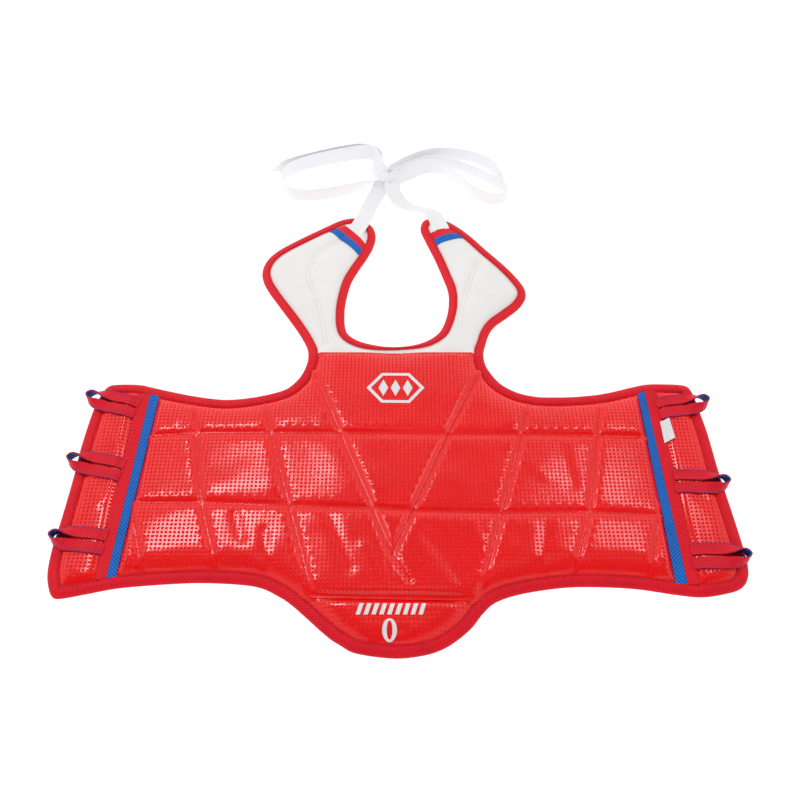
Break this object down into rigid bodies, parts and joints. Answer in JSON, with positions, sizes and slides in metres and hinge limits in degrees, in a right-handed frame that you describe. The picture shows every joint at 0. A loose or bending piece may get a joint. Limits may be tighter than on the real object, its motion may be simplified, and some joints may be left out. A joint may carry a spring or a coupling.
{
  "type": "chest protector",
  "caption": "Quilted, reversible chest guard for a child, with side wings, back flaps, lace loops, shoulder pieces and neck ties, laid flat.",
  "frame": {"origin": "middle of the chest panel's back face, where the guard rests", "axes": "+X to the right as seen from the red front, +Y towards the neck, +Z out of the red front face"},
  "size_m": [0.6776, 0.6846, 0.02],
  "materials": {
    "red_embossed_leather": "glossy",
    "blue_back_leather": "glossy",
    "white_shoulder_leather": "satin",
    "foam_core": "matte",
    "red_binding_tape": "satin",
    "red_loop_tape": "satin",
    "blue_tape": "satin",
    "shoulder_tape": "satin",
    "white_tie_tape": "matte",
    "label_cloth": "matte"
  },
  "bodies": {
    "bib": {"bib_back_cover": "blue_back_leather", "bib_binding": "red_binding_tape", "bib_foam": "foam_core", "bib_outer_cover": "red_embossed_leather"},
    "right_flap": {"care_label": "label_cloth", "right_flap_back_cover": "blue_back_leather", "right_flap_binding": "red_binding_tape", "right_flap_foam": "foam_core", "right_flap_outer_cover": "red_embossed_leather", "right_loop_band": "red_binding_tape"},
    "chest": {"chest_back_cover": "blue_back_leather", "chest_foam": "foam_core", "chest_outer_cover": "red_embossed_leather", "chest_v_panel": "red_embossed_leather", "left_armhole_binding": "red_binding_tape", "right_armhole_binding": "red_binding_tape"},
    "left_wing": {"left_blue_stripe": "blue_tape", "left_wing_back_cover": "blue_back_leather", "left_wing_binding": "red_binding_tape", "left_wing_foam": "foam_core", "left_wing_outer_cover": "red_embossed_leather"},
    "left_flap": {"left_flap_back_cover": "blue_back_leather", "left_flap_binding": "red_binding_tape", "left_flap_foam": "foam_core", "left_flap_outer_cover": "red_embossed_leather", "left_loop_band": "red_binding_tape"},
    "left_loop_1": {"left_lace_loop_1": "red_loop_tape"},
    "left_loop_2": {"left_lace_loop_2": "red_loop_tape"},
    "left_loop_3": {"left_lace_loop_3": "red_loop_tape"},
    "yoke": {"left_shoulder_back_cover": "blue_back_leather", "left_shoulder_binding": "red_binding_tape", "left_shoulder_foam": "foam_core", "left_shoulder_outer_cover": "white_shoulder_leather", "left_shoulder_tapes": "shoulder_tape", "left_tie": "white_tie_tape", "neck_binding": "red_binding_tape", "right_shoulder_back_cover": "blue_back_leather", "right_shoulder_binding": "red_binding_tape", "right_shoulder_foam": "foam_core", "right_shoulder_outer_cover": "white_shoulder_leather", "right_shoulder_tapes": "shoulder_tape", "right_tie": "white_tie_tape", "tie_knot": "white_tie_tape"},
    "left_side": {"left_side_back_cover": "blue_back_leather", "left_side_binding": "red_binding_tape", "left_side_foam": "foam_core", "left_side_outer_cover": "red_embossed_leather"},
    "right_wing": {"right_blue_stripe": "blue_tape", "right_wing_back_cover": "blue_back_leather", "right_wing_binding": "red_binding_tape", "right_wing_foam": "foam_core", "right_wing_outer_cover": "red_embossed_leather"},
    "right_loop_1": {"right_lace_loop_1": "red_loop_tape"},
    "right_loop_2": {"right_lace_loop_2": "red_loop_tape"},
    "right_loop_3": {"right_lace_loop_3": "red_loop_tape"},
    "right_side": {"right_side_back_cover": "blue_back_leather", "right_side_binding": "red_binding_tape", "right_side_foam": "foam_core", "right_side_outer_cover": "red_embossed_leather"}
  },
  "joints": [
    {"name": "left_side_fold", "type": "hinge", "parent": "chest", "child": "left_side", "pos_m": [-0.1134, -0.1085, 0.006], "axis": [0.2916, -0.9565, 0], "range_deg": [-60, 60]},
    {"name": "left_wing_fold", "type": "hinge", "parent": "left_side", "child": "left_wing", "pos_m": [-0.1939, -0.10225, 0.006], "axis": [0.2454, -0.9694, 0], "range_deg": [-60, 60]},
    {"name": "left_flap_fold", "type": "hinge", "parent": "left_wing", "child": "left_flap", "pos_m": [-0.274, -0.1, 0.006], "axis": [-0.0345, -0.9994, 0], "range_deg": [-60, 60]},
    {"name": "right_side_fold", "type": "hinge", "parent": "chest", "child": "right_side", "pos_m": [0.1134, -0.1085, 0.006], "axis": [0.2916, 0.9565, 0], "range_deg": [-60, 60]},
    {"name": "right_wing_fold", "type": "hinge", "parent": "right_side", "child": "right_wing", "pos_m": [0.1939, -0.10225, 0.006], "axis": [0.2454, 0.9694, 0], "range_deg": [-60, 60]},
    {"name": "right_flap_fold", "type": "hinge", "parent": "right_wing", "child": "right_flap", "pos_m": [0.274, -0.1, 0.006], "axis": [-0.0345, 0.9994, 0], "range_deg": [-60, 60]},
    {"name": "bib_fold", "type": "hinge", "parent": "chest", "child": "bib", "pos_m": [0, -0.2225, 0.006], "axis": [1, 0, 0], "range_deg": [-50, 60]},
    {"name": "yoke_fold", "type": "hinge", "parent": "chest", "child": "yoke", "pos_m": [0, 0.0635, 0.006], "axis": [-1, 0, 0], "range_deg": [-60, 60]},
    {"name": "left_loop_1_lift", "type": "hinge", "parent": "left_flap", "child": "left_loop_1", "pos_m": [-0.2845, -0.0125, 0.011], "axis": [0.2496, 0.9684, 0], "range_deg": [0, 100]},
    {"name": "left_loop_2_lift", "type": "hinge", "parent": "left_flap", "child": "left_loop_2", "pos_m": [-0.2865, -0.0875, 0.011], "axis": [0.2036, 0.9791, 0], "range_deg": [0, 100]},
    {"name": "left_loop_3_lift", "type": "hinge", "parent": "left_flap", "child": "left_loop_3", "pos_m": [-0.2895, -0.1675, 0.011], "axis": [0.0963, 0.9954, 0], "range_deg": [0, 100]},
    {"name": "right_loop_1_lift", "type": "hinge", "parent": "right_flap", "child": "right_loop_1", "pos_m": [0.2845, -0.0145, 0.011], "axis": [0.2075, -0.9782, 0], "range_deg": [0, 100]},
    {"name": "right_loop_2_lift", "type": "hinge", "parent": "right_flap", "child": "right_loop_2", "pos_m": [0.287, -0.102, 0.011], "axis": [-0.0202, -0.9998, 0], "range_deg": [0, 100]},
    {"name": "right_loop_3_lift", "type": "hinge", "parent": "right_flap", "child": "right_loop_3", "pos_m": [0.29, -0.183, 0.011], "axis": [-0.0198, -0.9998, 0], "range_deg": [0, 100]}
  ]
}
